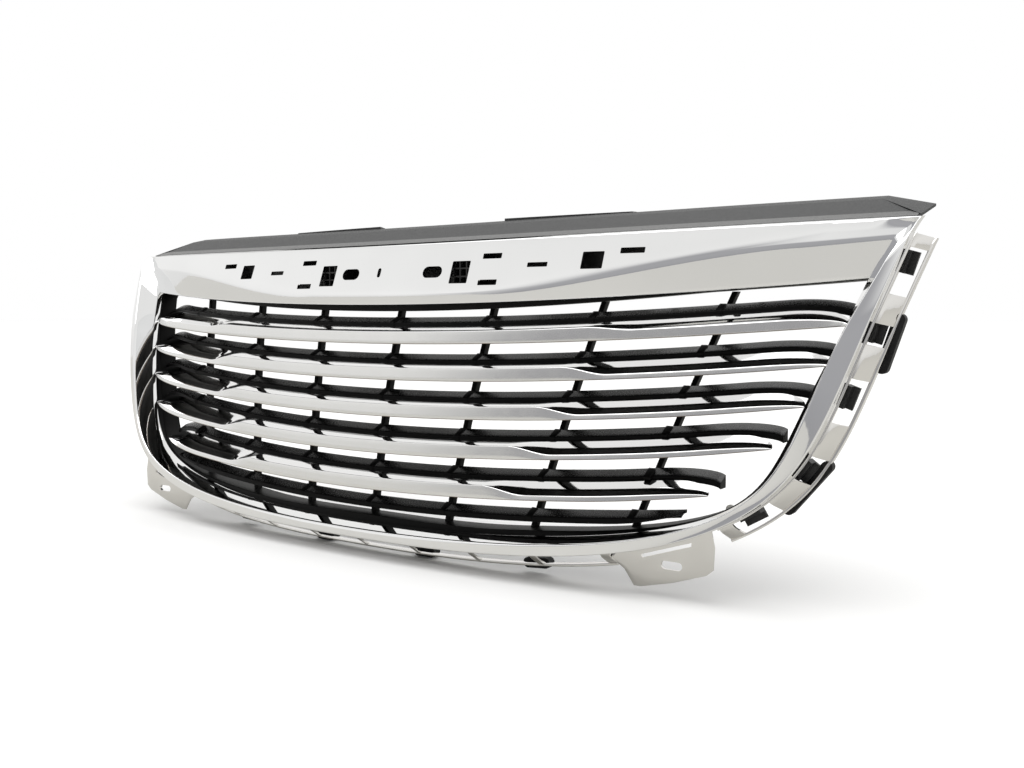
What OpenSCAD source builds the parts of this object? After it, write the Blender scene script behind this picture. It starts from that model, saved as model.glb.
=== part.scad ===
// Front grille of a passenger vehicle: a chrome surround with a black inner grid,
// five chrome blades, a grained top cover and the flanges, clips and screws that hold them.
// X is to the right of a person who faces the grille, Y runs into the vehicle, Z is up.

/* [Overall] */
// Half the width of the surround at its top corners
half_w = 563; // [540:1:590]
// Height from the emblem centre line down to the bottom edge
drop = 295.5; // [280:0.5:310]
// Backward bow of the face, per square millimetre of distance from the middle
bow_2 = 0.00017; // [0.00014:0.00001:0.0002]
// Backward lean of the face at the emblem centre line
lean_1 = 0.357; // [0.3:0.001:0.4]

/* [Blades and grid] */
// Spacing of the upright ribs, at the height where the fan has no effect
rib_pitch = 131.5; // [120:0.5:135]
// Height of the bottom edge of the first blade, at the middle
blade_1_z = -81; // [-84:0.5:-78]
// Vertical spacing of the blades
blade_pitch = 40; // [38:0.5:41]
// Height of the blade's tall front face
blade_h = 14; // [12:0.5:15]
// Height of the first blade's front face beyond its crease
blade_end_h = 9.5; // [8:0.5:11]
// Depth of a blade from its front edge to its rail
blade_depth = 33; // [30:1:36]
// Thickness of an upright rib
rib_t = 6; // [4:0.5:7]

/* [Shell] */
// Wall of the chrome surround
wall = 3; // [2.5:0.1:3.5]
// Share of the side and bottom band's width that lies outside its crease
crease_share = 0.69; // [0.6:0.01:0.75]

/* [Mounts] */
// Distance between the two inner top fixing holes
fix_inner = 292; // [280:1:300]
// Distance between the two outer top fixing holes
fix_outer = 440; // [420:1:460]
// Diameter of a top fixing hole
fix_d = 8.5; // [7:0.5:9]
// Distance between the two lower tongue slots
tongue_span = 750; // [740:1:756]
// Length of a tongue slot
tongue_slot_l = 22; // [18:1:24]
// Width of a tongue slot
tongue_slot_w = 8; // [7:0.5:9]
// Distance between the two emblem slots
emblem_span = 124; // [120:1:128]
// Length of an emblem slot
emblem_slot_l = 27; // [24:1:28]
// Width of an emblem slot
emblem_slot_w = 13; // [11:0.5:14]

/* [Hidden] */
$fn = 48;
eps = 0.01;

// The modelling origin is the emblem centre on the front face; the part's origin is the
// middle of the line through the inner top fixing holes.
seat_back = 108;
seat_up = 65.5;

bow_4 = 2.2e-10;
lean_2 = 0.00035;
top_z = 33.5;            // top edge of the band at the middle
top_rise = 8.5;          // how much higher it is at the corners
open_z = -36.5;          // top edge of the opening at the middle
open_rise = 8.2e-5;
open_half = 522;         // half width of the opening at its top corners
open_top = -15;
open_drop = 281;
ring_z = -60;            // height of the point that the ring stations fan out from
flare = 17;              // how far the flange stands out from the face's edge
side_n = 30;             // stations on each half of the U shaped part of the ring
top_n = 24;              // stations along the top band

function bow(x) = bow_2 * x * x + bow_4 * pow(x, 4);
function lean(z) = lean_1 * z + lean_2 * z * z;
function face_y(x, z) = bow(x) + lean(z);
function clamp01(t) = min(1, max(0, t));
function ease(t) = let (c = clamp01(t)) c * c * (3 - 2 * c);
function mix(a, b, t) = a + (b - a) * t;
function top_edge(x) = top_z + top_rise * pow(x / half_w, 2);
function open_edge(x) = open_z + open_rise * x * x;

// A rounded outline that tapers downwards: 0 on the curve, above 0 outside it.
function rounded(x, z, half, taper, top, depth, p, n) =
    pow(abs(x) / (half - taper * (top - z)), n) + pow(max(0, top - z) / depth, p) - 1;
function outer_f(x, z) = rounded(x, z, half_w, 0.312, 42, drop + 42, 7.54, 2.75);
function inner_f(x, z) = rounded(x, z, open_half, 0.35, open_top, open_drop + open_top, 10.2, 1.95);
function on_outer(a, lo, hi, i = 0) = i == 26 ? lo :
    let (r = (lo + hi) / 2)
    outer_f(r * cos(a), ring_z + r * sin(a)) > 0 ? on_outer(a, lo, r, i + 1) : on_outer(a, r, hi, i + 1);
function on_inner(a, lo, hi, i = 0) = i == 26 ? lo :
    let (r = (lo + hi) / 2)
    inner_f(r * cos(a), ring_z + r * sin(a)) > 0 ? on_inner(a, lo, r, i + 1) : on_inner(a, r, hi, i + 1);
// Angles of the top corners, seen from the fan point.
outer_a0 = atan2(42 - ring_z, half_w);
inner_a0 = atan2(open_top - ring_z, open_half);
// Points [x, z] on the right half of each outline, t from 0 at the corner to 1 at the bottom.
function outer_p(t) = let (a = mix(outer_a0, -90, t), r = on_outer(a, 60, 700)) [r * cos(a), ring_z + r * sin(a)];
function inner_p(t) = let (a = mix(inner_a0, -90, t), r = on_inner(a, 60, 700)) [r * cos(a), ring_z + r * sin(a)];

// How far the side rim stands forward of the face, and the opening's edge behind it.
function rim_lift(z) = 14 * ease((z + 225) / 190) * (1 - 0.6 * ease((z - 22) / 20)) + 3;
function edge_recess(x, z) = 12 + 9 * ease((-z - 60) / 150) * ease(abs(x) / 400);
function top_recess(x) = 4 + 11 * ease((abs(x) - 130) / 320);

// One ring station: edge o, rim crease k, middle m and opening edge i, each [x, y, z], with
// the direction v = [x, z] that runs inwards across the band.
function station(o, i, lift, k, k_lift, recess) =
    let (v = (i - o) / norm(i - o), m = (k + i) / 2,
         yo = face_y(o[0], o[1]) - lift, yk = face_y(k[0], k[1]) - k_lift,
         yi = face_y(i[0], i[1]) + recess, ym = (yk + yi) / 2 + 2)
    [[o[0], yo, o[1]], [k[0], yk, k[1]], [m[0], ym, m[1]], [i[0], yi, i[1]], [v[0], 0, v[1]]];
function u_station(t, s) =
    let (o = outer_p(t), i = inner_p(t), v = (i - o) / norm(i - o), lift = rim_lift(o[1]),
         k = o + v * norm(i - o) * crease_share * mix(0.5, 1, ease(t * 12)),
         st = station(o, i, lift, k, lift + 1, edge_recess(i[0], i[1])))
    [for (p = st) [p[0] * s, p[1], p[2]]];
function top_station(f) =
    let (xo = half_w * f, xi = open_half * f, o = [xo, top_edge(xo)], i = [xi, open_edge(xi)],
         scoop = 10 + 28 * ease((abs(xi) - 130) / 320), k = [mix(xi, xo, 0.5 * abs(f)), i[1] + scoop])
    station(o, i, 0, k, 0, top_recess(xi));
ring = concat(
    [for (j = [0 : top_n]) top_station(-1 + 2 * j / top_n)],
    [for (j = [1 : side_n]) u_station(j / side_n, 1)],
    [for (j = [side_n - 1 : -1 : 1]) u_station(j / side_n, -1)]);

// The shell's closed section at a station: front points, then the same points set back.
function shell_section(s) =
    let (o = s[0], k = s[1], m = s[2], i = s[3], v = s[4], b = [0, wall, 0])
    [o + v + [0, 14, 0], o + v * wall + b, k + b, m + b, i - v * wall + b, i - v * wall + [0, 8, 0],
     i + [0, 8, 0], i, m, k, o, o - v * 2 + [0, 14, 0]];

// A solid from a list of rings of points, joined end to end or closed by two caps.
module sweep(rings, closed = false) {
    n = len(rings);
    m = len(rings[0]);
    last = closed ? n - 1 : n - 2;
    sides = [for (i = [0 : last], j = [0 : m - 1], half = [0, 1])
        let (a = i * m + j, b = i * m + (j + 1) % m, ii = (i + 1) % n, c = ii * m + j, d = ii * m + (j + 1) % m)
        half == 0 ? [a, b, d] : [a, d, c]];
    caps = closed ? [] : [[for (j = [m - 1 : -1 : 0]) j], [for (j = [0 : m - 1]) (n - 1) * m + j]];
    polyhedron(points = [for (r = rings) each r], faces = concat(sides, caps), convexity = 10);
}

module seat() {
    translate([0, -seat_back, -seat_up]) children();
}

module obround(l, w) {
    square([l - w, w], center = true);
    for (s = [-1, 1]) translate([s * (l - w) / 2, 0]) circle(d = w);
}

// Drives a 2D shape, drawn as [x, z], through the wall along Y from y0 to y1.
module through(y0, y1) {
    translate([0, y1, 0]) rotate([90, 0, 0]) linear_extrude(y1 - y0) children();
}

// ---- chrome surround ----
module band_holes() {
    for (s = [-1, 1]) {
        translate([s * emblem_span / 2, 0]) obround(emblem_slot_l, emblem_slot_w);
        translate([s * 100, -1]) square([24, 25], center = true);
        translate([s * 139, 16]) square([24, 6], center = true);
        translate([s * 139, -13]) square([24, 6], center = true);
        translate([s * 197, 5]) square([24, 5], center = true);
        translate([s * 260, 8]) square([24, 18], center = true);
        translate([s * 302, 17]) square([26, 6], center = true);
    }
    translate([-17, 1]) rotate(90) obround(11, 5);
}
module surround() {
    color("gainsboro") seat() difference() {
        sweep([for (s = ring) shell_section(s)], closed = true);
        through(-30, 60) band_holes();
    }
}

// ---- ladder flange behind the surround's edge ----
// A point at stretch t of the outline, moved out by d and set back by y. t runs on past 1,
// the bottom's middle, up the left side.
function flange_pt(t, d, y) =
    let (s = t > 1 ? -1 : 1, u = t > 1 ? 2 - t : t, o = outer_p(u),
         g = outer_p(u + 0.01) - outer_p(u - 0.01), n = [-g[1], g[0]] / norm(g), q = o + n * d)
    [s * q[0], face_y(o[0], o[1]) - rim_lift(o[1]) + y, q[1]];
module band_strip(ts, d0, d1, y0, y1) {
    sweep([for (t = ts) [flange_pt(t, d0, y0), flange_pt(t, d1, y0), flange_pt(t, d1, y1), flange_pt(t, d0, y1)]]);
}
module ladder(t0, t1, steps, posts) {
    ts = [for (j = [0 : steps]) mix(t0, t1, j / steps)];
    band_strip(ts, -1, 2, 14.2, 19);
    band_strip(ts, flare - 3, flare, 33, 42);
    for (p = posts) {
        a = p[0] - p[1];
        b = p[0] + p[1];
        sweep([for (q = [[0, 15, 18.5], [6, 19, 23], [flare - 1, 34, 41]])
            [for (e = [[a, q[2]], [b, q[2]], [b, q[1]], [a, q[1]]]) flange_pt(e[0], q[0], e[1])]]);
    }
}
// Posts and panels of the ladders: middle and half length, as stretches of the outline.
side_posts = [[0.02, 0.006], [0.083, 0.014], [0.135, 0.017], [0.2165, 0.0185], [0.278, 0.016], [0.338, 0.006]];
bottom_posts = [[0.4575, 0.0045], [0.551, 0.0045], [0.666, 0.0045], [0.8215, 0.0045]];
module side_flange() {
    ladder(0.0135, 0.345, 26, side_posts);
}
module flange_right() {
    color("silver") seat() side_flange();
}
module flange_left() {
    color("silver") seat() mirror([1, 0, 0]) side_flange();
}
module flange_bottom() {
    color("silver") seat() ladder(0.453, 1.547, 48,
        concat(bottom_posts, [[1, 0.0045]], [for (p = bottom_posts) [2 - p[0], p[1]]]));
}

// ---- lower tongues with their fixing slots ----
tongue_z = -284;
tongue_y = -34;
module tongue() {
    difference() {
        through(tongue_y - 1.5, tongue_y + 1.5)
            polygon([[309, -283], [318, -290], [324.5, -294], [335, -309], [342, -309], [376, -300.5],
                     [409, -289], [416, -283], [417, -262], [413, -243], [395, -250], [372, -261],
                     [340, -268], [318, -270]]);
        translate([tongue_span / 2, tongue_y + 2, tongue_z]) rotate([90, 0, 0])
            linear_extrude(4) obround(tongue_slot_l, tongue_slot_w);
    }
}
module tongue_right() {
    color("silver") seat() tongue();
}
module tongue_left() {
    color("silver") seat() mirror([1, 0, 0]) tongue();
}

// ---- black inner grid ----
frame_depth = 27;
frame_top_depth = 14;
// How far the frame stands inside the opening, along its top and down its sides.
function lip_drop(x) = max(1, 7.5 - 4.6e-5 * x * x);
function side_drop(t) = 1 + 10 * ease(8 * t) - 3.5 * ease(6 * (t - 0.45));
function frame_section(s, inward, depth) =
    let (i = s[3], v = s[4], a = i + v * inward, b = i - v * 5)
    [b + [0, 8.2, 0], b + [0, 8.2 + depth, 0], a + [0, 8.2 + depth, 0], a + [0, 8.2, 0]];
function frame_ring(j) =
    let (s = ring[j], x = s[3][0])
    j <= top_n ? frame_section(s, lip_drop(x), mix(frame_top_depth, frame_depth, ease((abs(x) - 400) / 110)))
    : let (t = (j - top_n) / side_n) frame_section(s, side_drop(t > 1 ? 2 - t : t), frame_depth);
module grid_frame() {
    color("#1c1d1f") seat() sweep([for (j = [0 : len(ring) - 1]) frame_ring(j)], closed = true);
}

rib_depth = 9;
function rib_x(i, z) = rib_pitch * i * (1 + 0.000813 * (z + 26.6));
function rib_y(x, z) = 30.3 + 0.000264 * x * x + lean(z) * 0.894;
module rib(i) {
    x0 = rib_x(i, -40);
    z0 = open_edge(x0) - 1;
    x1 = rib_x(i, -270);
    z1 = -open_drop + 3.2 + 0.00006 * x1 * x1;
    sweep([for (k = [0 : 6]) let (z = mix(z0, z1, k / 6), x = rib_x(i, z), y = rib_y(x, z), h = rib_t / 2)
        [[x - h, y, z], [x + h, y, z], [x + h, y + rib_depth, z], [x - h, y + rib_depth, z]]]);
}
module grid_ribs() {
    color("#1c1d1f") seat() for (i = [-3 : 3]) rib(i);
}

// Blade data: bottom edge height at the middle, upward curve, half length and crease position.
// The sixth place is the bare rail below the last blade.
function blade_z0(k) = blade_1_z - blade_pitch * (k - 1);
function blade_curve(k) = 8.6e-5 + 1.6e-5 * min(k - 1, 3);
blade_half = [509, 496, 478, 453, 400, 374];
blade_crease = [291, 269, 245, 220, 194];
rail_top = [30, 28, 27, 26.4, 26, 26];   // height of each rail's top over its blade's bottom edge
rail_lip = 2.8;                          // height of a rail's upright front lip
rail_slope_h = 6.5;                      // rise of the sloping face above it
rail_slope_d = 13;                       // depth of that face
bend_at = 12;                            // where the blade's upper face changes slope
function blade_bz(k, x) = blade_z0(k) + blade_curve(k) * x * x;
function blade_by(k, x) =
    let (tip = blade_half[k - 1])
    face_y(x, blade_bz(k, x)) - 4 + 23 * pow(clamp01((abs(x) - tip + 120) / 120), 2);
function blade_face(k, x) = mix(blade_h, k == 1 ? blade_end_h : 5, ease((abs(x) - blade_crease[k - 1] + 22) / 50));
// 1 along the blade, falling to 0 round the leaf shaped end.
function leaf(k, x, l, over = 0) =
    sqrt(max(0, 1 - pow(clamp01((abs(x) - blade_half[k - 1] - over + l) / l), 2)));
function blade_section(k, x) =
    let (y = blade_by(k, x), z = blade_bz(k, x), e = max(0.1, leaf(k, x, 60)),
         h = blade_face(k, x), r = blade_rise(k), d = blade_depth, bend = h + 0.42 * (r - h))
    [for (q = [[0, 0], [1.5, h], [bend_at, bend], [d, r], [d, r - 3], [bend_at + 1, bend - 3],
               [3.5, max(1.5, h - 5)], [3, 0]])
        [x, y + q[0] * e, z + q[1] * e]];
function blade_rise(k) = rail_top[k - 1] - rail_lip - rail_slope_h;
function ease_ends(f) = sin(90 * f);
module blade(k) {
    n = 44;
    color("lightgray") seat()
        sweep([for (j = [0 : n]) blade_section(k, (blade_half[k - 1] - 0.4) * ease_ends(-1 + 2 * j / n))]);
}
module blade_1() { blade(1); }
module blade_2() { blade(2); }
module blade_3() { blade(3); }
module blade_4() { blade(4); }
module blade_5() { blade(5); }

// A rail: an upright lip behind the blade's rear edge, and a face that slopes up and back.
function rail_section(k, x) =
    let (e = leaf(k, x, 72, 10), y = blade_by(k, x) + blade_depth * mix(0.3, 1, e),
         z = blade_bz(k, x) + blade_rise(k) * e, d = rail_slope_d)
    [[x, y, z - 3], [x, y, z + rail_lip], [x, y + d, z + rail_lip + rail_slope_h],
     [x, y + d + 1, z + rail_lip + rail_slope_h], [x, y + d + 1, z - 3]];
// The lowest rail has no blade, so its ends don't curl down: they run into the frame.
function low_rail_section(x) =
    let (y = face_y(x, blade_bz(6, x)) - 4 + blade_depth, z = blade_bz(6, x) + rail_top[5], d = rail_slope_d,
         under = 12.3 - 9 * pow(clamp01((abs(x) - 300) / (blade_half[5] - 300)), 2))
    [[x, y, z - under], [x, y, z - rail_slope_h], [x, y + d, z], [x, y + d + 1, z], [x, y + d + 1, z - under]];
module rail(k) {
    n = 36;
    color("#1c1d1f") seat()
        sweep([for (j = [0 : n]) rail_section(k, (blade_half[k - 1] + 4) * ease_ends(-1 + 2 * j / n))]);
}
module rail_1() { rail(1); }
module rail_2() { rail(2); }
module rail_3() { rail(3); }
module rail_4() { rail(4); }
module rail_5() { rail(5); }
module rail_6() {
    n = 24;
    color("#1c1d1f") seat()
        sweep([for (j = [0 : n]) low_rail_section(blade_half[5] * (-1 + 2 * j / n))]);
}

// ---- grained top cover ----
cover_t = 2.5;
cover_front_half = 558;
cover_top_half = 518;
function cover_low(f) = let (x = cover_front_half * f) [x, face_y(x, top_edge(x)) + 2, top_edge(x) + 1.5];
function cover_crease(f) = let (x = cover_top_half * f, z = 57 + 3e-5 * x * x) [x, face_y(x, z) + 47, z];
function cover_rear(f) = cover_crease(f) + [0, 24, 5.5];
cover_tip = [566, 138, 58];
function cover_section(p, q, r) =
    let (d = [0, 0, -cover_t])
    [p, q, r, r + d, q + d, p + [0, cover_t, -0.4]];
cover_n = 32;
module top_cover() {
    mid = [for (j = [0 : cover_n]) let (f = -1 + 2 * j / cover_n)
        cover_section(cover_low(f), cover_crease(f), cover_rear(f))];
    right = cover_section(cover_low(1), cover_tip, cover_tip + [0, 1, 0]);
    left = [for (p = right) [-p[0], p[1], p[2]]];
    color("#3a3b3d") seat() sweep(concat([left], mid, [right]));
}
// Two tabs that run on from the cover's rear edge and carry the top fixing holes.
tab_t = 4;
module tab() {
    front = [for (j = [3 : 8]) let (p = cover_rear(2 * j / cover_n)) [p[0], p[1]]];
    translate([0, 0, seat_up - tab_t]) linear_extrude(tab_t) difference() {
        polygon(concat(front, [[262, 116], [250, 124], [168, 121], [164, 127], [128, 126], [124, 118], [108, 116]]));
        for (x = [fix_inner / 2, fix_outer / 2]) translate([x, seat_back]) circle(d = fix_d);
    }
}
module cover_tabs() {
    color("#3a3b3d") seat() for (s = [0, 1]) mirror([s, 0, 0]) tab();
}

// ---- black carrier behind the top band ----
function carrier_y(x) = bow(x) * 0.97;
module carrier_strip(half, y0, y1) {
    xs = [for (j = [-12 : 12]) half * j / 12];
    polygon(concat([for (x = xs) [x, carrier_y(x) + y0]],
                   [for (j = [len(xs) - 1 : -1 : 0]) [xs[j], carrier_y(xs[j]) + y1]]));
}
module header_carrier() {
    color("#232426") seat() {
        translate([0, 0, -16]) linear_extrude(50) carrier_strip(450, 30, 33);
        translate([0, 0, 33]) linear_extrude(3) carrier_strip(450, 22, 52);
        translate([0, 0, -18]) linear_extrude(3) carrier_strip(450, 20, 33);
    }
}
module emblem_sockets() {
    color("#151617") seat() for (s = [-1, 1]) translate([s * 100, 0, -1]) {
        difference() {
            translate([-15, 8, -15]) cube([30, 23, 30]);
            for (i = [-1 : 1], j = [-1 : 1])
                translate([i * 9 - 3.7, 7, j * 9 - 3.7]) cube([7.4, 18, 7.4]);
        }
    }
}

// ---- pads, clips and fasteners ----
// A black pad with round ends, laid along the flange from stretch t0 to t1.
module pad(t0, t1) {
    a = flange_pt(t0, flare - 1, 42);
    b = flange_pt(t1, flare - 1, 42);
    l = norm([b[0] - a[0], b[2] - a[2]]);
    mid = (a + b) / 2;
    translate([mid[0], mid[1] + 10.6, mid[2]]) rotate([90, atan2(a[2] - b[2], b[0] - a[0]), 0])
        linear_extrude(10) obround(l, 11);
}
module pad_upper_right() { color("#111111") seat() pad(0.084, 0.144); }
module pad_upper_left() { color("#111111") seat() mirror([1, 0, 0]) pad(0.084, 0.144); }
module pad_lower_right() { color("#111111") seat() pad(0.236, 0.301); }
module pad_lower_left() { color("#111111") seat() mirror([1, 0, 0]) pad(0.236, 0.301); }
module bottom_pads() {
    color("#111111") seat() for (s = [0, 1], t = [[0.545, 0.59], [0.79, 0.855]])
        mirror([s, 0, 0]) pad(t[0], t[1]);
}

clip_ts = [0.039, 0.105, 0.172, 0.254, 0.318];
module clip(t) {
    p = flange_pt(t, 6, 24);
    q = flange_pt(t + 0.02, 6, 24);
    translate(p) rotate([0, atan2(p[2] - q[2], q[0] - p[0]), 0]) {
        translate([-11, 0, -7]) cube([22, 13, 5]);
        translate([-11, 10, -7]) cube([22, 4, 11]);
    }
}
module snap_clips() {
    color("#111111") seat() for (s = [0, 1]) mirror([s, 0, 0]) for (t = clip_ts) clip(t);
}
module screw(l) {
    rotate([90, 0, 0]) {
        translate([0, 0, -3]) cylinder(d = 9, h = 3);
        cylinder(d = 4, h = l);
    }
}
module carrier_screws() {
    color("dimgray") seat() for (x = [-420, -330, -180, 0, 180, 330, 420])
        translate([x, carrier_y(x) + 33.1, -16]) screw(15);
}
module grid_screws() {
    color("dimgray") seat() for (t = [0.1, 0.3, 0.5, 0.75, 1, 1.25, 1.5, 1.7, 1.9]) {
        s = t > 1 ? -1 : 1;
        p = u_station(t > 1 ? 2 - t : t, s);
        translate(p[3] - p[4] * 2 + [0, 8.2 + frame_depth + 0.1, 0]) screw(6);
    }
}

surround();
flange_left();
flange_right();
flange_bottom();
tongue_left();
tongue_right();
grid_frame();
grid_ribs();
rail_1();
rail_2();
rail_3();
rail_4();
rail_5();
rail_6();
blade_1();
blade_2();
blade_3();
blade_4();
blade_5();
top_cover();
cover_tabs();
header_carrier();
emblem_sockets();
pad_upper_left();
pad_upper_right();
pad_lower_left();
pad_lower_right();
bottom_pads();
snap_clips();
grid_screws();
carrier_screws();
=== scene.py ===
"""Front grille: chrome surround, black grid, chrome blades and grained cover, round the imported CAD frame.

Shapes are drawn in millimetres from the emblem centre on the front face, with the same curves as the
CAD, and put into the part's own frame, in metres, when their meshes are made.
"""

import math

import bpy
import numpy as np
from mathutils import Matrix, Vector


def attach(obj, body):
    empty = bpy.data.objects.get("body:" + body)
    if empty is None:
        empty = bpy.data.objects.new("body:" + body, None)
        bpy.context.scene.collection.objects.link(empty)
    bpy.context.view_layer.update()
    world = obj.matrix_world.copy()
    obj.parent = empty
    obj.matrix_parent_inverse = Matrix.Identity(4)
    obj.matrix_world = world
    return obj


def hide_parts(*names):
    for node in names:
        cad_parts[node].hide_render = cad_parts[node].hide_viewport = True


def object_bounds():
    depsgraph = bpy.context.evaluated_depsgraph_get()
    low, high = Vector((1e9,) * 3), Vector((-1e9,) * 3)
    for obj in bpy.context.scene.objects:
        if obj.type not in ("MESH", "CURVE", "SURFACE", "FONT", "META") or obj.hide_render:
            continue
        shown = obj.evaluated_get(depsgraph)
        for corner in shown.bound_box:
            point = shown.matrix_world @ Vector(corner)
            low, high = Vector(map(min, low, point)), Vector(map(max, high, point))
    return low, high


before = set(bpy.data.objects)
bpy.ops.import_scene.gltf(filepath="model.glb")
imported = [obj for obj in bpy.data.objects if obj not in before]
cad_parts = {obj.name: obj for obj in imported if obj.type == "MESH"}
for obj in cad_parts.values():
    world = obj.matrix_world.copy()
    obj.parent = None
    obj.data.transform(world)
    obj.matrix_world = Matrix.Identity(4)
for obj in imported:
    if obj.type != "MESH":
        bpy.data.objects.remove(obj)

cad_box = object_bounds()
MM = 0.001

# ---------------------------------------------------------------- camera

CAMERA_PLACE = Vector((0.7569, -0.9831, -0.1144))
CAMERA_TURN = 33.82      # degrees to the left of straight ahead
CAMERA_DOWN = 3.99       # degrees below level
CAMERA_LENS = 34.53      # millimetres, on a sensor 36 wide


def make_camera():
    data = bpy.data.cameras.new("camera")
    data.sensor_width = 36.0
    data.lens = CAMERA_LENS
    data.clip_start = 0.02
    camera = bpy.data.objects.new("camera", data)
    camera.location = CAMERA_PLACE
    camera.rotation_euler = (math.radians(90 - CAMERA_DOWN), 0, math.radians(CAMERA_TURN))
    bpy.context.scene.collection.objects.link(camera)
    bpy.context.scene.camera = camera


# ---------------------------------------------------------------- curves of the design, in mm

SEAT = np.array([0.0, 108.0, 65.5])   # from the emblem centre to the part's origin
HALF_W = 563.0
DROP = 295.5
OPEN_HALF = 522.0
OPEN_TOP = -15.0
OPEN_DROP = 281.0
CORNER_Z = 42.0
RING_Z = -60.0
WALL = 3.0
FLARE = 17.0
FRAME_DEPTH = 27.0
RIB_PITCH = 131.5
RIB_T = 6.0
RIB_DEPTH = 9.0
BLADE_DEPTH = 33.0
BLADE_HALF = (509, 496, 478, 453, 400, 374)   # the sixth is the bare rail below the last blade
BLADE_CREASE = (291, 269, 245, 220, 194)
BEND_AT = 12.0           # where the blade's upper face changes slope, behind its front edge
BEND_RISE = 0.42         # share of that face's rise that lies in front of the bend
RAIL_TOP = (30, 28, 27, 26.4, 26, 26)
RAIL_LIP = 2.8
RAIL_SLOPE_H = 6.5
RAIL_SLOPE_D = 13.0
BOTTOM = 2.0             # stretch of the outline at its left top corner; 1 is the bottom's middle


def bow(x):
    return 0.00017 * x ** 2 + 2.2e-10 * x ** 4


def lean(z):
    return 0.357 * z + 0.00035 * z ** 2


def face_y(x, z):
    return bow(x) + lean(z)


def ease(t):
    c = np.clip(t, 0, 1)
    return c * c * (3 - 2 * c)


def mix(a, b, t):
    return a + (b - a) * t


def top_edge(x):
    return 33.5 + 8.5 * (x / HALF_W) ** 2


def open_edge(x):
    return -36.5 + 8.2e-5 * x ** 2


def rounded(x, z, half, taper, top, depth, p, n):
    return (np.abs(x) / (half - taper * (top - z))) ** n + (np.maximum(0, top - z) / depth) ** p - 1


def outer_f(x, z):
    return rounded(x, z, HALF_W, 0.312, CORNER_Z, DROP + CORNER_Z, 7.54, 2.75)


def inner_f(x, z):
    return rounded(x, z, OPEN_HALF, 0.35, OPEN_TOP, OPEN_DROP + OPEN_TOP, 10.2, 1.95)


def outline(t, f, corner_angle):
    """Points (x, z) on a rounded outline.

    t is 0 at the right top corner, 1 at the bottom and 2 at the left top corner.
    """
    t = np.atleast_1d(np.asarray(t, float))
    side = np.where(t > 1, -1.0, 1.0)
    u = np.where(t > 1, 2 - t, t)
    a = mix(corner_angle, -math.pi / 2, u)
    lo = np.full(a.shape, 60.0)
    hi = np.full(a.shape, 700.0)
    for _ in range(30):
        r = (lo + hi) / 2
        outside = f(r * np.cos(a), RING_Z + r * np.sin(a)) > 0
        hi = np.where(outside, r, hi)
        lo = np.where(outside, lo, r)
    return np.stack([side * lo * np.cos(a), RING_Z + lo * np.sin(a)], -1)


OUTER_A0 = math.atan2(CORNER_Z - RING_Z, HALF_W)
INNER_A0 = math.atan2(OPEN_TOP - RING_Z, OPEN_HALF)


def outer_p(t):
    return outline(t, outer_f, OUTER_A0)


def inner_p(t):
    return outline(t, inner_f, INNER_A0)


def rim_lift(z):
    return 14 * ease((z + 225) / 190) * (1 - 0.6 * ease((z - 22) / 20)) + 3


def edge_recess(x, z):
    return 12 + 9 * ease((-z - 60) / 150) * ease(np.abs(x) / 400)


def top_recess(x):
    return 4 + 11 * ease((np.abs(x) - 130) / 320)


def unit(v):
    return v / np.maximum(np.linalg.norm(v, axis=-1, keepdims=True), 1e-9)


def xyz(xz, y):
    return np.stack([xz[..., 0], y, xz[..., 1]], -1)


# ---------------------------------------------------------------- mesh helpers

def make_piece(name, verts, faces, materials, node=None, face_materials=None, sharp=38,
               body="root"):
    """A smooth shaded mesh piece. verts are in mm from the emblem centre."""
    mesh = bpy.data.meshes.new(name)
    mesh.from_pydata(((np.asarray(verts, float) - SEAT) * MM).tolist(), [],
                     [list(map(int, f)) for f in faces])
    mesh.validate()
    for m in materials:
        mesh.materials.append(m)
    if face_materials is not None:
        mesh.polygons.foreach_set("material_index", np.asarray(face_materials, np.int32))
    mesh.polygons.foreach_set("use_smooth", [True] * len(mesh.polygons))
    mesh.set_sharp_from_angle(angle=math.radians(sharp))
    mesh.update()
    piece = bpy.data.objects.new(name, mesh)
    bpy.context.scene.collection.objects.link(piece)
    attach(piece, body)
    if node:
        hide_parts(*([node] if isinstance(node, str) else node))
    return piece


def loop_faces(n, m, closed, start=0):
    """Quads between n rings of m points, and the two end caps when the loft isn't closed."""
    faces = []
    for i in range(n if closed else n - 1):
        a = start + i * m
        b = start + ((i + 1) % n) * m
        for j in range(m):
            k = (j + 1) % m
            faces.append((a + j, a + k, b + k, b + j))
    if not closed:
        faces.append(tuple(range(start + m - 1, start - 1, -1)))
        faces.append(tuple(range(start + (n - 1) * m, start + n * m)))
    return faces


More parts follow.
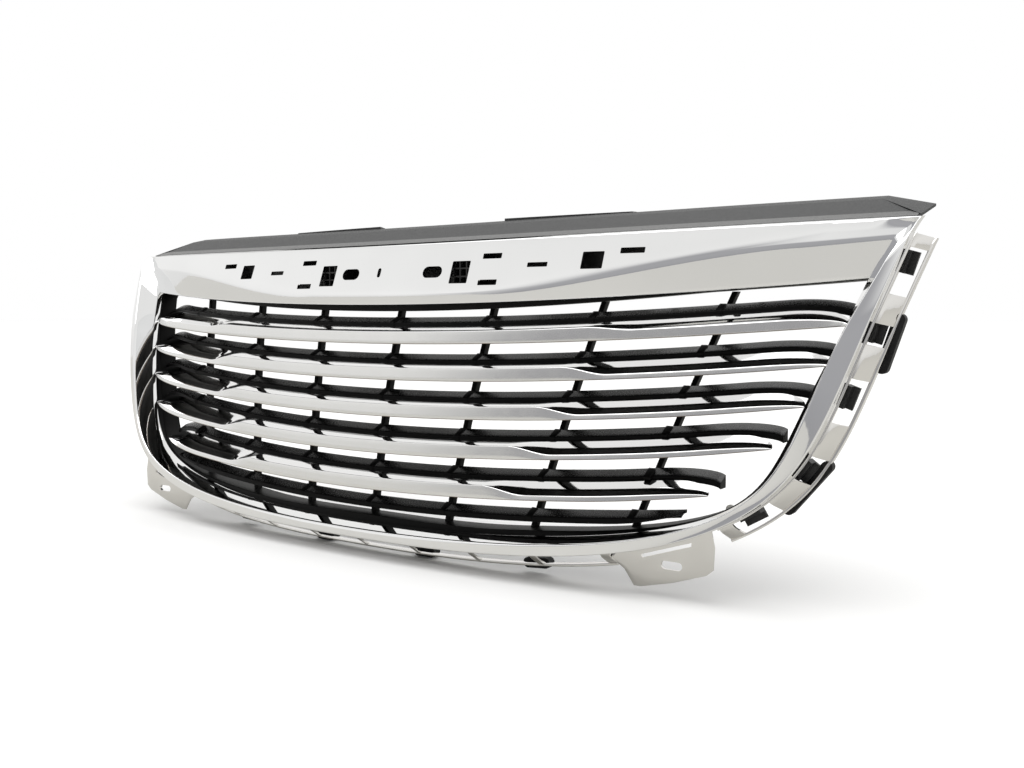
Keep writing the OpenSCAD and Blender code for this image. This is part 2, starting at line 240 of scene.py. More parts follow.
def round_loop(points, radii, steps, fill=None):
    """Rounds the corners of closed sections (n, m, 3). radii and steps are one a corner, fill is
    the number of extra points on the edge that follows each corner."""
    p = np.asarray(points, float)
    back = np.roll(p, 1, axis=1) - p
    ahead = np.roll(p, -1, axis=1) - p
    out = []
    m = p.shape[1]
    starts = []
    ends = []
    for j in range(m):
        lb = np.linalg.norm(back[:, j], axis=-1, keepdims=True)
        la = np.linalg.norm(ahead[:, j], axis=-1, keepdims=True)
        starts.append(p[:, j] + back[:, j] / np.maximum(lb, 1e-9) * np.minimum(radii[j], 0.48 * lb))
        ends.append(p[:, j] + ahead[:, j] / np.maximum(la, 1e-9) * np.minimum(radii[j], 0.48 * la))
    for j in range(m):
        if steps[j] == 0:
            out.append(p[:, j])
            last = p[:, j]
        else:
            for t in np.linspace(0, 1, steps[j] + 1):
                out.append((1 - t) ** 2 * starts[j] + 2 * t * (1 - t) * p[:, j] + t * t * ends[j])
            last = ends[j]
        k = (j + 1) % m
        target = p[:, k] if steps[k] == 0 else starts[k]
        for q in range(1, (fill[j] if fill else 0) + 1):
            out.append(mix(last, target, q / (fill[j] + 1)))
    return np.stack(out, 1)


def loft(name, rings, materials, node=None, closed=False, face_materials=None, sharp=38):
    rings = np.asarray(rings, float)
    n, m = rings.shape[:2]
    verts = rings.reshape(-1, 3)
    faces = loop_faces(n, m, closed)
    if volume(verts, faces) < 0:
        faces = [tuple(reversed(f)) for f in faces]
    return make_piece(name, verts, faces, materials, node, face_materials, sharp)


def volume(verts, faces):
    total = 0.0
    for f in faces:
        a = verts[f[0]]
        for i in range(1, len(f) - 1):
            total += float(np.dot(a, np.cross(verts[f[i]], verts[f[i + 1]])))
    return total / 6


def several(name, parts, materials, node=None, sharp=38):
    """One piece from a list of (rings, closed)."""
    verts = []
    faces = []
    for rings, closed in parts:
        rings = np.asarray(rings, float)
        n, m = rings.shape[:2]
        flat = rings.reshape(-1, 3)
        own = loop_faces(n, m, closed)
        if volume(flat, own) < 0:
            own = [tuple(reversed(f)) for f in own]
        start = sum(len(v) for v in verts)
        faces += [tuple(i + start for i in f) for f in own]
        verts.append(flat)
    return make_piece(name, np.concatenate(verts), faces, materials, node, None, sharp)


def mirrored(rings):
    out = np.array(rings, float)
    out[..., 0] *= -1
    return out


# ---------------------------------------------------------------- materials

def new_material(name):
    material = bpy.data.materials.new(name)
    material.use_nodes = True
    nodes = material.node_tree.nodes
    return material, nodes, material.node_tree.links, nodes["Principled BSDF"]


def noise(nodes, links, scale, detail=3.0, roughness=0.55):
    place = nodes.new("ShaderNodeTexCoord")
    texture = nodes.new("ShaderNodeTexNoise")
    texture.inputs["Scale"].default_value = scale
    texture.inputs["Detail"].default_value = detail
    texture.inputs["Roughness"].default_value = roughness
    links.new(place.outputs["Object"], texture.inputs["Vector"])
    return texture.outputs["Fac"]


def spread(nodes, links, value, low, high):
    """Maps 0..1 noise onto low..high."""
    out = nodes.new("ShaderNodeMapRange")
    out.inputs["From Min"].default_value = 0.3
    out.inputs["From Max"].default_value = 0.7
    out.inputs["To Min"].default_value = low
    out.inputs["To Max"].default_value = high
    links.new(value, out.inputs["Value"])
    return out.outputs["Result"]


def tinted(nodes, links, value, dark, light):
    ramp = nodes.new("ShaderNodeValToRGB")
    ramp.color_ramp.elements[0].position = 0.3
    ramp.color_ramp.elements[0].color = (*dark, 1)
    ramp.color_ramp.elements[1].position = 0.7
    ramp.color_ramp.elements[1].color = (*light, 1)
    links.new(value, ramp.inputs["Fac"])
    return ramp.outputs["Color"]


def bumped(nodes, links, shader, height, strength, distance, under=None):
    bump = nodes.new("ShaderNodeBump")
    bump.inputs["Strength"].default_value = strength
    bump.inputs["Distance"].default_value = distance
    links.new(height, bump.inputs["Height"])
    if under is not None:
        links.new(under, bump.inputs["Normal"])
    links.new(bump.outputs["Normal"], shader.inputs["Normal"])
    return bump.outputs["Normal"]


def chrome(name, colour, rough_low, rough_high, ripple):
    """Plated plastic: a mirror with faint mould ripple and slightly uneven polish."""
    material, nodes, links, shader = new_material(name)
    shader.inputs["Metallic"].default_value = 1.0
    tone = noise(nodes, links, 9.0, 2.0)
    dark = tuple(c * 0.965 for c in colour)
    links.new(tinted(nodes, links, tone, dark, colour), shader.inputs["Base Color"])
    links.new(spread(nodes, links, noise(nodes, links, 60.0), rough_low, rough_high),
              shader.inputs["Roughness"])
    bumped(nodes, links, shader, noise(nodes, links, 14.0, 1.0), ripple, 0.004)
    return material


def plastic(name, dark, light, rough_low, rough_high, grain_scale, grain, specular=0.5):
    """Moulded plastic with a fine grain, uneven sheen and slight colour variation."""
    material, nodes, links, shader = new_material(name)
    shader.inputs["Specular IOR Level"].default_value = specular
    links.new(tinted(nodes, links, noise(nodes, links, 420.0, 4.0), dark, light),
              shader.inputs["Base Color"])
    links.new(spread(nodes, links, noise(nodes, links, 600.0), rough_low, rough_high),
              shader.inputs["Roughness"])
    bumped(nodes, links, shader, noise(nodes, links, grain_scale, 4.0, 0.7), grain, 0.0004)
    return material


FLANGE = chrome("flange_chrome", (0.80, 0.79, 0.77), 0.05, 0.09, 0.05)
MIRROR = chrome("mirror_chrome", (0.93, 0.935, 0.94), 0.02, 0.05, 0.02)
SATIN = chrome("satin_chrome", (0.84, 0.84, 0.83), 0.17, 0.24, 0.02)
BLADE_MIRROR = chrome("blade_chrome", (0.88, 0.88, 0.885), 0.04, 0.08, 0.03)
# Dark brownish chrome for the blades' lower rounded edge: a painted reflection of the dark ground.
BLADE_EDGE_PAINTED_REFLECTION = chrome("blade_edge", (0.30, 0.26, 0.22), 0.15, 0.25, 0.02)
GRID = plastic("grid_black", (0.010, 0.010, 0.010), (0.016, 0.016, 0.016), 0.20, 0.30, 900.0, 0.10)
# A darker, duller copy of the grid black: painted shade for the recessed rail lips, ribs, frame ring and
# blade backs.
GRID_PAINTED_SHADE = plastic("grid_black_painted_shade", (0.002, 0.002, 0.002), (0.004, 0.004, 0.004), 0.40, 0.52,
                    900.0, 0.12, 0.10)
GRAINED = plastic("grained_black", (0.026, 0.027, 0.028), (0.040, 0.041, 0.042), 0.46, 0.60, 1500.0,
                  0.75, 0.4)
# A lighter, glossier copy of the grained black for the cover's lower front strip: painted light falling
# from above.
GRAINED_PAINTED_HIGHLIGHT = plastic("grained_black_front_painted_highlight", (0.060, 0.060, 0.060), (0.085, 0.085, 0.086), 0.34,
                        0.46, 1500.0, 0.5, 0.8)
CARRIER = plastic("carrier_black", (0.010, 0.010, 0.011), (0.018, 0.018, 0.019), 0.38, 0.52, 700.0,
                  0.2)
PAD = plastic("pad_black", (0.006, 0.006, 0.007), (0.012, 0.012, 0.013), 0.55, 0.7, 500.0, 0.35,
              0.35)
ZINC = chrome("zinc_steel", (0.62, 0.62, 0.60), 0.25, 0.4, 0.2)


# ---------------------------------------------------------------- chrome surround

def shell_section(o, k, mid, i, v, lift_o, lift_k, recess, extra):
    """Twelve corner points of the shell at each station. o, k, mid, i and v are (n, 2)."""
    yo = face_y(o[:, 0], o[:, 1]) - lift_o
    yk = face_y(k[:, 0], k[:, 1]) - lift_k
    yi = face_y(i[:, 0], i[:, 1]) + recess
    ym = (yk + yi) / 2
    e_xz = mix(o, k, 0.5) if extra is None else extra
    ye = (yo + yk) / 2 if extra is None else face_y(extra[:, 0], extra[:, 1]) - 0.8
    pts = [xyz(o - v * 2, yo + 14), xyz(o, yo), xyz(e_xz, ye), xyz(k, yk), xyz(mid, ym), xyz(i, yi),
           xyz(i, yi + 8), xyz(i - v * WALL, yi + 8), xyz(i - v * WALL, yi + WALL), xyz(mid,
                                                                                        ym + WALL),
           xyz(k, yk + WALL), xyz(e_xz, ye + WALL), xyz(o + v * WALL, yo + WALL), xyz(o + v,
                                                                                      yo + 14)]
    return np.stack(pts, 1)


def top_stations(count):
    f = np.linspace(-1, 1, count)
    xo = HALF_W * f
    xi = OPEN_HALF * f
    o = np.stack([xo, top_edge(xo)], -1)
    i = np.stack([xi, open_edge(xi)], -1)
    scoop = 10 + 28 * ease((np.abs(xi) - 130) / 320)
    k = np.stack([mix(xi, xo, 0.5 * np.abs(f)), i[:, 1] + scoop], -1)
    crease = -30 + 64 * np.clip(np.abs(xo) / 490, 0, 1.1) ** 1.6
    crease = np.clip(crease, k[:, 1] + 3, o[:, 1] - 5)
    extra = np.stack([mix(k[:, 0], o[:, 0], (crease - k[:, 1]) / (o[:, 1] - k[:, 1])), crease], -1)
    lift = 4.8 * ease((np.abs(xo) - 520) / 43)
    return shell_section(o, k, (k + i) / 2, i, unit(i - o), lift, 0.0, top_recess(xi), extra)


def u_stations(t):
    o = outer_p(t)
    i = inner_p(t)
    v = unit(i - o)
    width = np.linalg.norm(i - o, axis=-1)
    lift = rim_lift(o[:, 1])
    from_corner = np.where(t > 1, 2 - t, t)
    reach = width * mix(0.345, 0.69, ease(from_corner * 12))
    k = o + v * reach[:, None]
    return shell_section(o, k, (k + i) / 2, i, v, lift, lift + 1, edge_recess(i[:, 0], i[:, 1]),
                         None)


def surround_rings():
    t = np.linspace(0, 2, 422)[1:-1]
    corners = np.concatenate([top_stations(376), u_stations(t)])
    radii = [0.8, 2.2, 8, 3.0, 12, 0.9, 0.6, 0.6, 0.4, 8, 2, 8, 1.5, 0.6]
    steps = [2, 5, 3, 4, 8, 3, 1, 1, 1, 3, 1, 1, 1, 1]
    fill = [1, 6, 6, 2, 2, 1, 0, 0, 0, 1, 3, 3, 0, 1]
    return round_loop(corners, radii, steps, fill)


def band_holes():
    """Outlines (x, z) of the holes in the top band, as lists of points."""
    def rectangle(x, z, w, h, r=1.2):
        out = []
        for cx, cz, base in ((1, 1, 0), (-1, 1, 90), (-1, -1, 180), (1, -1, 270)):
            for b in np.linspace(base, base + 90, 5):
                q = math.radians(b)
                out.append((x + cx * (w / 2 - r) + r * math.cos(q),
                            z + cz * (h / 2 - r) + r * math.sin(q)))
        return out
    holes = []
    for s in (-1, 1):
        holes += [rectangle(s * 62, 0, 27, 13, 6.49), rectangle(s * 100, -1, 24, 25),
                  rectangle(s * 139, 16, 24, 6, 0.8), rectangle(s * 139, -13, 24, 6, 0.8),
                  rectangle(s * 197, 5, 24, 5, 0.8), rectangle(s * 260, 8, 24, 18),
                  rectangle(s * 302, 17, 26, 6, 0.8)]
    holes.append(rectangle(-17, 1, 5, 11, 2.49))
    return holes


def cut(piece, outlines, y0, y1):
    """Cuts straight holes along Y through a piece, and keeps its smooth shading."""
    verts = []
    faces = []
    for hole in outlines:
        start = len(verts)
        m = len(hole)
        verts += [(x, y0, z) for x, z in hole] + [(x, y1, z) for x, z in hole]
        faces += [(start + j, start + (j + 1) % m, start + m + (j + 1) % m,
                   start + m + j) for j in range(m)]
        faces += [tuple(range(start + m - 1, start - 1, -1)),
                  tuple(range(start + m, start + 2 * m))]
    if volume(np.asarray(verts, float), faces) < 0:
        faces = [tuple(reversed(f)) for f in faces]
    mesh = bpy.data.meshes.new("cutter")
    mesh.from_pydata(((np.asarray(verts) - SEAT) * MM).tolist(), [], faces)
    cutter = bpy.data.objects.new("cutter", mesh)
    bpy.context.scene.collection.objects.link(cutter)
    modifier = piece.modifiers.new("holes", "BOOLEAN")
    modifier.object = cutter
    modifier.operation = "DIFFERENCE"
    modifier.solver = "EXACT"
    bpy.context.view_layer.update()
    depsgraph = bpy.context.evaluated_depsgraph_get()
    cut_mesh = bpy.data.meshes.new_from_object(piece.evaluated_get(depsgraph))
    piece.modifiers.clear()
    old = piece.data
    piece.data = cut_mesh
    bpy.data.meshes.remove(old)
    bpy.data.objects.remove(cutter)
    piece.data.set_sharp_from_angle(angle=math.radians(38))


def make_surround():
    piece = loft("chrome_surround", surround_rings(), [MIRROR], "surround",
                 closed=True)
    cut(piece, band_holes(), -30, 60)


# ---------------------------------------------------------------- snap flange and tongues

def flange_pt(t, d, y):
    """Points at stretches t of the outline, d outwards and y behind the edge."""
    t = np.atleast_1d(np.asarray(t, float))
    side = np.where(t > 1, -1.0, 1.0)
    u = np.where(t > 1, 2 - t, t)
    o = outer_p(u)
    g = outer_p(u + 0.01) - outer_p(u - 0.01)
    n = unit(np.stack([-g[:, 1], g[:, 0]], -1))
    q = o + n * np.asarray(d, float).reshape(-1, 1)
    y_edge = face_y(o[:, 0], o[:, 1]) - rim_lift(o[:, 1])
    return np.stack([side * q[:, 0], y_edge + y, q[:, 1]], -1)


def band_strip(t0, t1, count, d0, d1, y0, y1, radius):
    t = np.linspace(t0, t1, count)
    corners = np.stack([flange_pt(t, d0, y0), flange_pt(t, d1, y0), flange_pt(t, d1, y1),
                        flange_pt(t, d0, y1)], 1)
    return round_loop(corners, [radius] * 4, [2] * 4), False


def post(t, half):
    rings = []
    for d, y0, y1 in ((0, 15, 18.5), (3, 16.5, 20.5), (6, 19, 23), (10, 25, 29.5),
                      (FLARE - 1, 34, 41)):
        a = flange_pt([t - half, t + half], [d, d], y1)
        b = flange_pt([t + half, t - half], [d, d], y0)
        rings.append(np.concatenate([a, b]))
    return round_loop(np.array(rings), [0.6] * 4, [1] * 4), False


def ladder(t0, t1, posts):
    count = int(260 * (t1 - t0))
    parts = [band_strip(t0, t1, count, -1, 2, 14.2, 19, 0.6),
             band_strip(t0, t1, count, FLARE - 3, FLARE, 33, 42, 0.9)]
    return parts + [post(t, half) for t, half in posts]


# Posts and panels of the ladders: middle and half length, as stretches of the outline.
SIDE_POSTS = ((0.02, 0.006), (0.083, 0.014), (0.135, 0.017), (0.2165, 0.0185), (0.278, 0.016),
              (0.338, 0.006))
BOTTOM_POSTS = ((0.4575, 0.0045), (0.551, 0.0045), (0.666, 0.0045), (0.8215, 0.0045))


def make_flanges():
    side = ladder(0.0135, 0.345, SIDE_POSTS)
    several("snap_flange_right", side, [FLANGE], "flange_right")
    several("snap_flange_left", [(mirrored(r), c) for r, c in side], [FLANGE],
            "flange_left")
    posts = BOTTOM_POSTS + ((1.0, 0.0045),) + tuple((BOTTOM - t, half) for t, half in BOTTOM_POSTS)
    several("snap_flange_bottom", ladder(0.453, 1.547, posts), [FLANGE],
            "flange_bottom")


TONGUE = ((309, -283), (318, -290), (324.5, -294), (335, -309), (342, -309), (376, -300.5),
          (409, -289), (416, -283),
          (417, -262), (413, -243), (395, -250), (372, -261), (340, -268), (318, -270))
TONGUE_Y = -34.0


def make_tongue(name, side):
    """A plate with a bevelled rim bent back, a fixing slot, and a long slit under the band."""
    rim = np.array(TONGUE, float)
    middle = np.array([366.0, -281.0])
    inset = middle + (rim - middle) * 0.88
    rings = [xyz(inset, np.full(len(rim), TONGUE_Y + 1.5)),
             xyz(rim, np.full(len(rim), TONGUE_Y + 1.5)),
             xyz(rim, np.full(len(rim), TONGUE_Y + 0.3)), xyz(inset,
                                                              np.full(len(rim), TONGUE_Y - 1.5))]
    rings = np.stack(rings) * [side, 1, 1]
    plate = loft(name, rings, [FLANGE], name.replace("fixing_", ""), sharp=12)
    slot = [(side * (375 + x), -284 + z) for x, z in obround(22, 8)]
    slit = [(side * x, z) for x,
            z in ((342.6, -277.3), (344.7, -280.2), (394.9, -263.3), (394.8, -259.6))]
    cut(plate, [slot, slit], TONGUE_Y - 9, TONGUE_Y + 9)


def obround(length, width):
    out = []
    for end in (1, -1):
        for a in np.linspace(-90, 90, 9):
            q = math.radians(a)
            out.append((end * ((length - width) / 2 + width / 2 * math.cos(q)),
                        end * width / 2 * math.sin(q)))
    return out


# ---------------------------------------------------------------- black grid

def frame_rings():
    t = np.linspace(0, 2, 242)[1:-1]
    f = np.linspace(-1, 1, 161)
    xi = OPEN_HALF * f
    i_top = np.stack([xi, open_edge(xi)], -1)
    v_top = unit(i_top - np.stack([HALF_W * f, top_edge(HALF_W * f)], -1))
    y_top = face_y(xi, i_top[:, 1]) + top_recess(xi)
    in_top = np.maximum(1, 7.5 - 4.6e-5 * xi ** 2)
    i_u = inner_p(t)
    v_u = unit(i_u - outer_p(t))
    y_u = face_y(i_u[:, 0], i_u[:, 1]) + edge_recess(i_u[:, 0], i_u[:, 1])
    i = np.concatenate([i_top, i_u])
    v = np.concatenate([v_top, v_u])
    y = np.concatenate([y_top, y_u]) + 8.2
    u = np.where(t > 1, 2 - t, t)
    inward = np.concatenate([in_top, 1 + 10 * ease(8 * u) - 3.5 * ease(6 * (u - 0.45))])[:, None]
    depth = np.concatenate([mix(14, FRAME_DEPTH, ease((np.abs(xi) - 400) / 110)),
                            np.full(len(t), FRAME_DEPTH)])
    a = i + v * inward
    b = i - v * 5
    corners = np.stack([xyz(b, y), xyz(b, y + depth), xyz(a, y + depth), xyz(a, y)], 1)
    return round_loop(corners, [0.8, 0.8, 0.8, 1.0], [2, 2, 2, 2])


def rib_x(i, z):
    return RIB_PITCH * i * (1 + 0.000813 * (z + 26.6))


def rib_y(x, z):
    return 30.3 + 0.000264 * x ** 2 + lean(z) * 0.894


def rib(i):
    x0 = rib_x(i, -40)
    z = np.linspace(open_edge(x0) - 1, -OPEN_DROP + 3.2 + 6e-5 * rib_x(i, -270) ** 2, 24)
    x = rib_x(i, z)
    y = rib_y(x, z)
    h = RIB_T / 2
    corners = np.stack([np.stack([x - h, y, z], -1), np.stack([x + h, y, z], -1),
                        np.stack([x + h, y + RIB_DEPTH, z], -1), np.stack([x - h, y + RIB_DEPTH, z],
                                                                          -1)], 1)
    return round_loop(corners, [1.0] * 4, [3] * 4), False


def rib_foot(i, k):
    """The foot that runs forward from a rib over a rail's sloping face to its lip."""
    z = blade_bz(k, rib_x(i, -80 - 40 * (k - 1))) + RAIL_TOP[k - 1] - RAIL_SLOPE_H
    x = rib_x(i, z)
    z = blade_bz(k, x) + RAIL_TOP[k - 1] - RAIL_SLOPE_H
    y = face_y(x, blade_bz(k, x)) - 4 + BLADE_DEPTH
    h = RIB_T / 2 + 0.4
    rings = []
    for dy, top in ((-0.25, -0.3), (0.5, 0.9), (RAIL_SLOPE_D - 1, RAIL_SLOPE_H + 0.9),
                    (RAIL_SLOPE_D + 0.5, RAIL_SLOPE_H + 0.5)):
        rings.append([(x - h, y + dy, z - 2.6), (x + h, y + dy, z - 2.6), (x + h, y + dy, z + top),
                      (x - h, y + dy, z + top)])
    return round_loop(rings, [0.5] * 4, [2] * 4), False


# ---------------------------------------------------------------- blades and rails

def blade_bz(k, x):
    return -81 - 40 * (k - 1) + (8.6e-5 + 1.6e-5 * min(k - 1, 3)) * x ** 2


def blade_by(k, x):
    tip = BLADE_HALF[k - 1]
    return face_y(x, blade_bz(k, x)) - 4 + 23 * np.clip((np.abs(x) - tip + 120) / 120, 0, 1) ** 2


def blade_face(k, x):
    return mix(14, 9.5 if k == 1 else 5, ease((np.abs(x) - BLADE_CREASE[k - 1] + 22) / 50))


def blade_rise(k):
    return RAIL_TOP[k - 1] - RAIL_LIP - RAIL_SLOPE_H


def leaf(k, x, length, over=0):
    reach = np.clip((np.abs(x) - BLADE_HALF[k - 1] - over + length) / length, 0, 1)
    return np.sqrt(np.maximum(0, 1 - reach ** 2))


def blade_rings(k):
    n = 260
    x = (BLADE_HALF[k - 1] - 0.4) * np.sin(np.linspace(-1, 1, n) * math.pi / 2)
    y = blade_by(k, x)
    z = blade_bz(k, x)
    e = np.maximum(0.1, leaf(k, x, 60))
    h = blade_face(k, x)
    r = blade_rise(k)
    d = BLADE_DEPTH
    bend = h + BEND_RISE * (r - h)
    zero = np.zeros(n)
    shape = [(zero, zero), (zero + 1.5, h), (zero + BEND_AT, bend), (zero + d, zero + r),
             (zero + d, zero + r - 3),
             (zero + BEND_AT + 1, bend - 3), (zero + 3.5, np.maximum(1.5, h - 5)), (zero + 3, zero)]
    corners = np.stack([np.stack([x, y + dy * e, z + dz * e], -1) for dy, dz in shape], 1)
    radii = [0.8, 1.0, 3, 0.5, 0.5, 5, 1.5, 0.7]
    steps = [2, 4, 5, 1, 1, 3, 2, 1]
    fill = [2, 1, 1, 0, 0, 0, 0, 0]
    face_points = (steps[0] + 1) + fill[0] + 1
    rings = round_loop(corners, radii, steps, fill)
    return rings, face_points


BACK_POINTS = 12         # the last points of a blade's section: its unplated back


def make_blade(k):
    """Satin front face, mirror upper face, a lower edge in dark chrome that is a painted reflection of the
    dark ground, and a back in the grid's painted-shade black.
    """
    rings, face_points = blade_rings(k)
    n, m = rings.shape[:2]
    plated = m - BACK_POINTS
    # Index 2 is the painted reflection of the dark ground on the lower rounding; index 3 is the
    # painted-shade black on the back.
    band = [2 if j < 2 or j == m - 1 else 0 if j < face_points else 1 if j < plated else 3
            for j in range(m)]
    loft("chrome_blade_%d" % k, rings, [SATIN, BLADE_MIRROR, BLADE_EDGE_PAINTED_REFLECTION, GRID_PAINTED_SHADE],
         "blade_%d" % k,
         face_materials=band * (n - 1) + [0, 0])


def rail_rings(k):
    n = 220
    x = (BLADE_HALF[k - 1] + 4) * np.sin(np.linspace(-1, 1, n) * math.pi / 2)
    e = leaf(k, x, 72, 10)
    y = blade_by(k, x) + BLADE_DEPTH * mix(0.3, 1, e) + 0.1
    z = blade_bz(k, x) + blade_rise(k) * e
    return rail_loop(x, y, z, 3)


def low_rail_rings():
    half = BLADE_HALF[5]
    x = np.linspace(-half, half, 160)
    y = face_y(x, blade_bz(6, x)) - 4 + BLADE_DEPTH
    z = blade_bz(6, x) + RAIL_TOP[5] - RAIL_LIP - RAIL_SLOPE_H
    under = 3 - 9 * np.clip((np.abs(x) - 300) / (half - 300), 0, 1) ** 2
    return rail_loop(x, y, z, under)


def rail_loop(x, y, z, under):
    top = RAIL_LIP + RAIL_SLOPE_H
    d = RAIL_SLOPE_D
    corners = np.stack([np.stack([x, y + dy, z + dz], -1) for dy, dz in
                        ((0, -under), (0, RAIL_LIP), (d, top), (d + 1, top), (d + 1, -under))], 1)
    return round_loop(corners, [1.0, 0.9, 1.2, 0.5, 1.0], RAIL_STEPS, RAIL_FILL)


RAIL_STEPS = (2, 3, 4, 2, 2)
RAIL_FILL = (0, 3, 0, 0, 0)


def make_rail(k, rings):
    """The sloping face is glossy; the upright lip and the rest take a darker, duller copy of the grid
    black, which is painted shade.
    """
    n, m = rings.shape[:2]
    first = RAIL_STEPS[0] + 1 + RAIL_STEPS[1]
    last = first + RAIL_FILL[1] + 1 + RAIL_STEPS[2]
    which = [1 if first <= j <= last else 0 for _ in range(n - 1) for j in range(m)] + [0, 0]
    loft("grid_rail_%d" % k, rings, [GRID_PAINTED_SHADE, GRID], "rail_%d" % k,
         face_materials=which)


def make_grid():
    # The frame ring and the ribs take the darker copy of the grid black, painted shade.
    loft("grid_frame_ring", frame_rings(), [GRID_PAINTED_SHADE], "grid_frame", closed=True)
    parts = [rib(i) for i in range(-3, 4)] + [rib_foot(i, k) for i in range(-3, 4) for k in range(1,
                                                                                                  7)
                                              if abs(rib_x(i,
                                                           blade_bz(k,
                                                                    0))) < BLADE_HALF[k - 1] - 60]
    several("grid_upright_ribs", parts, [GRID_PAINTED_SHADE], "grid_ribs")
    for k in range(1, 6):
        make_rail(k, rail_rings(k))
    make_rail(6, low_rail_rings())


# ---------------------------------------------------------------- top cover

def cover_low(f):
    x = 558 * f
    return np.stack([x, face_y(x, top_edge(x)) + 2, top_edge(x) + 1.5], -1)


def cover_crease(f):
    x = 518 * f
    z = 57 + 3e-5 * x ** 2
    return np.stack([x, face_y(x, z) + 47, z], -1)


def cover_end(side):
    """The folded end: the front face narrows to the lower corner, the top face widens."""
    low = cover_low(np.array([1.0]))[0]
    tip = np.array([566.0, 138.0, 58.0])
    line = [low, low + [1, 3, 0.8], low + [3, 9, 2.6], tip]
    return np.array([p * [side, 1, 1] for p in line])


def make_cover():
    f = np.linspace(-1, 1, 161)
    low = cover_low(f)
    crease = cover_crease(f)
    line = np.stack([low, low + np.array([0, 20, 6.6]), crease, crease + np.array([0, 24, 5.5])], 1)
    line = np.concatenate([[cover_end(-1)], line, [cover_end(1)]])
    under = line[:, ::-1] + np.array([0, 0, -2.5])
    under[:, 3] = line[:, 0] + np.array([0, 2.5, -0.4])
    corners = np.concatenate([line, under], 1)
    rings = round_loop(corners, [0.6, 4, 2, 0.6, 0.6, 2, 2, 0.6], [2, 4, 4, 2, 1, 1, 1, 1],
                       [2, 2, 2, 0, 0, 0, 0, 0])
    n, m = rings.shape[:2]
    # The first faces, the lower front strip, take the lighter copy: painted light from above.
    band = [1 if j < 6 else 0 for j in range(m)]
    loft("grained_cover", rings, [GRAINED, GRAINED_PAINTED_HIGHLIGHT], "top_cover",
         face_materials=band * (n - 1) + [0, 0], sharp=30)


# ---------------------------------------------------------------- carried-over CAD nodes

def dress_cad_nodes():
    """Gives every CAD node that stays visible its own procedural material."""
    looks = {"header_carrier": CARRIER, "emblem_sockets": CARRIER, "snap_clips": CARRIER,
             "cover_tabs": GRAINED,
             "pad_upper_left": PAD, "pad_upper_right": PAD,
             "pad_lower_left": PAD, "pad_lower_right": PAD,
             "bottom_pads": PAD, "grid_screws": ZINC, "carrier_screws": ZINC}
    for name, material in looks.items():
        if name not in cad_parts:
            continue
        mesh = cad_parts[name].data
        mesh.materials.clear()
        mesh.materials.append(material)


# ---------------------------------------------------------------- studio

def area_light(name, place, target, size, energy, colour=(1, 1, 1)):
    data = bpy.data.lights.new(name, "AREA")
    data.shape = "RECTANGLE"
    data.size = size[0]
    data.size_y = size[1]
    data.energy = energy
    data.color = colour
    light = bpy.data.objects.new(name, data)
    light.location = place
    light.rotation_euler = (Vector(target) - Vector(place)).to_track_quat("-Z", "Y").to_euler()
    bpy.context.scene.collection.objects.link(light)


def make_studio():
    low = cad_box[0][2]
    mesh = bpy.data.meshes.new("floor")
    r = 40.0
    z = low - 0.0005
    mesh.from_pydata([(-r, -r, z), (r, -r, z), (r, r, z), (-r, r, z)], [], [(0, 1, 2, 3)])
    floor = bpy.data.objects.new("floor", mesh)
    bpy.context.scene.collection.objects.link(floor)
    material, nodes, links, shader = new_material("pale_floor")
    pale = tinted(nodes, links, noise(nodes, links, 3.0), (0.95, 0.95, 0.95), (0.96, 0.96, 0.96))
    # Seen by the camera the floor is pale; in reflections and bounced light it is a darker grey-beige,
    # painted shade for the floor in front of the grille.
    choose = nodes.new("ShaderNodeMix")
    choose.data_type = "RGBA"
    links.new(nodes.new("ShaderNodeLightPath").outputs["Is Camera Ray"], choose.inputs[0])
    choose.inputs[6].default_value = (0.56, 0.55, 0.52, 1)
    links.new(pale, choose.inputs[7])
    links.new(choose.outputs[2], shader.inputs["Base Color"])
    shader.inputs["Roughness"].default_value = 0.7
    mesh.materials.append(material)
    make_world()
    area_light("top_softbox", (-0.3, 0.5, 2.4), (0, 0.3, -0.4), (3.2, 2.4), 20)
    data = bpy.data.lights.new("soft_overhead", "SUN")
    data.energy = 1.0
    data.angle = math.radians(60)
    overhead = bpy.data.objects.new("soft_overhead", data)
    bpy.context.scene.collection.objects.link(overhead)
    bpy.context.scene.view_settings.view_transform = "Standard"
    bpy.context.scene.view_settings.look = "None"


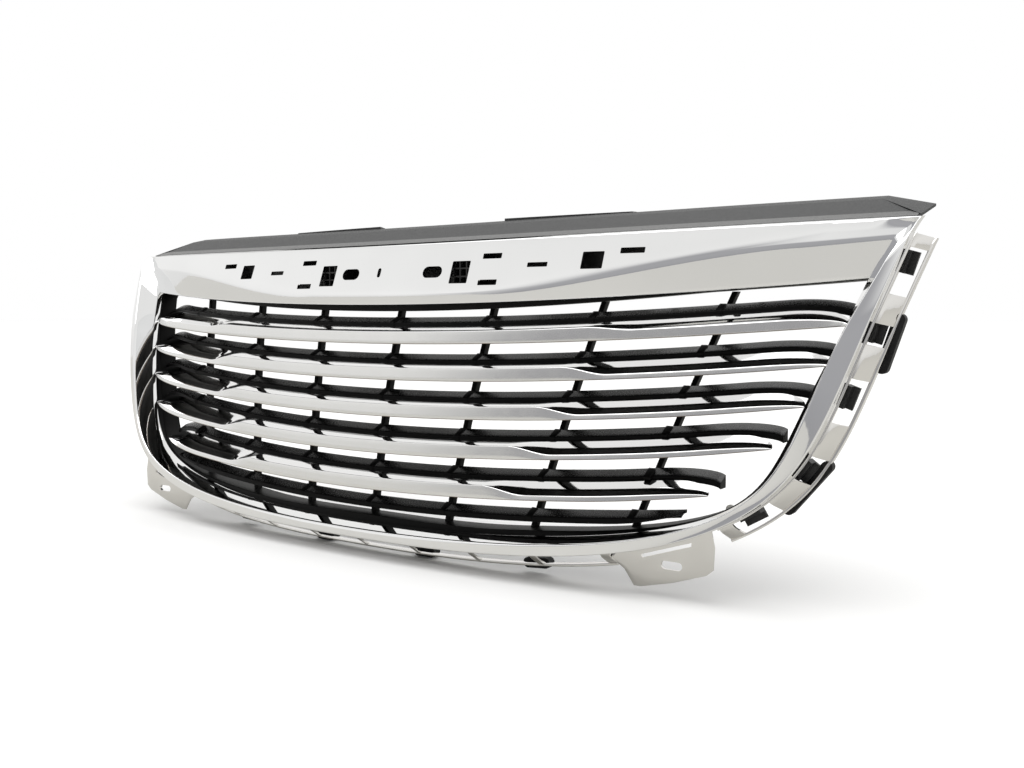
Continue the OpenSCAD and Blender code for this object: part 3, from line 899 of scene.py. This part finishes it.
def dim_side(nodes, links, direction, height):
    """1 on the dim side of the room, low and in front of the grille's right half, else 0."""
    dot = nodes.new("ShaderNodeVectorMath")
    dot.operation = "DOT_PRODUCT"
    dot.inputs[1].default_value = (0.26, -0.966, 0)
    links.new(direction, dot.inputs[0])
    masks = []
    for value, low, high in ((dot.outputs["Value"], 0.58, 0.80), (height, 0.66, 0.50)):
        mask = nodes.new("ShaderNodeMapRange")
        mask.interpolation_type = "SMOOTHSTEP"
        mask.inputs["From Min"].default_value = low
        mask.inputs["From Max"].default_value = high
        links.new(value, mask.inputs["Value"])
        masks.append(mask.outputs["Result"])
    both = nodes.new("ShaderNodeMath")
    both.operation = "MULTIPLY"
    links.new(masks[0], both.inputs[0])
    links.new(masks[1], both.inputs[1])
    return both.outputs["Value"]


def make_world():
    """A white studio: pale in front, a little darker overhead and low down, white to the eye."""
    world = bpy.data.worlds.new("studio")
    world.use_nodes = True
    nodes = world.node_tree.nodes
    links = world.node_tree.links
    background = nodes["Background"]
    where = nodes.new("ShaderNodeTexCoord")
    parts = nodes.new("ShaderNodeSeparateXYZ")
    links.new(where.outputs["Generated"], parts.inputs["Vector"])
    height = nodes.new("ShaderNodeValToRGB")
    stops = ((0.0, 0.55), (0.45, 0.62), (0.50, 0.80), (0.56, 0.90), (0.70, 0.93), (0.85, 0.85),
             (1.0, 0.78))
    ramp = height.color_ramp
    while len(ramp.elements) < len(stops):
        ramp.elements.new(0.5)
    for element, (place, value) in zip(ramp.elements, stops):
        element.position = place
        element.color = (value, value * 0.995, value * 0.98, 1)
    up = nodes.new("ShaderNodeMapRange")
    up.inputs["From Min"].default_value = -1
    up.inputs["From Max"].default_value = 1
    links.new(parts.outputs["Z"], up.inputs["Value"])
    links.new(up.outputs["Result"], height.inputs["Fac"])
    shade = nodes.new("ShaderNodeMix")
    shade.data_type = "RGBA"
    shade.blend_type = "MULTIPLY"
    shade.inputs[7].default_value = (0.42, 0.42, 0.44, 1)
    links.new(dim_side(nodes, links, where.outputs["Generated"], parts.outputs["Z"]),
              shade.inputs[0])
    links.new(height.outputs["Color"], shade.inputs[6])
    seen = nodes.new("ShaderNodeLightPath")
    choose = nodes.new("ShaderNodeMix")
    choose.data_type = "RGBA"
    links.new(seen.outputs["Is Camera Ray"], choose.inputs[0])
    links.new(shade.outputs[2], choose.inputs[6])
    choose.inputs[7].default_value = (1, 1, 1, 1)
    links.new(choose.outputs[2], background.inputs["Color"])
    background.inputs["Strength"].default_value = 1.0
    bpy.context.scene.world = world


make_camera()
make_surround()
make_flanges()
make_tongue("fixing_tongue_right", 1)
make_tongue("fixing_tongue_left", -1)
make_grid()
for blade in range(1, 6):
    make_blade(blade)
make_cover()
dress_cad_nodes()
make_studio()
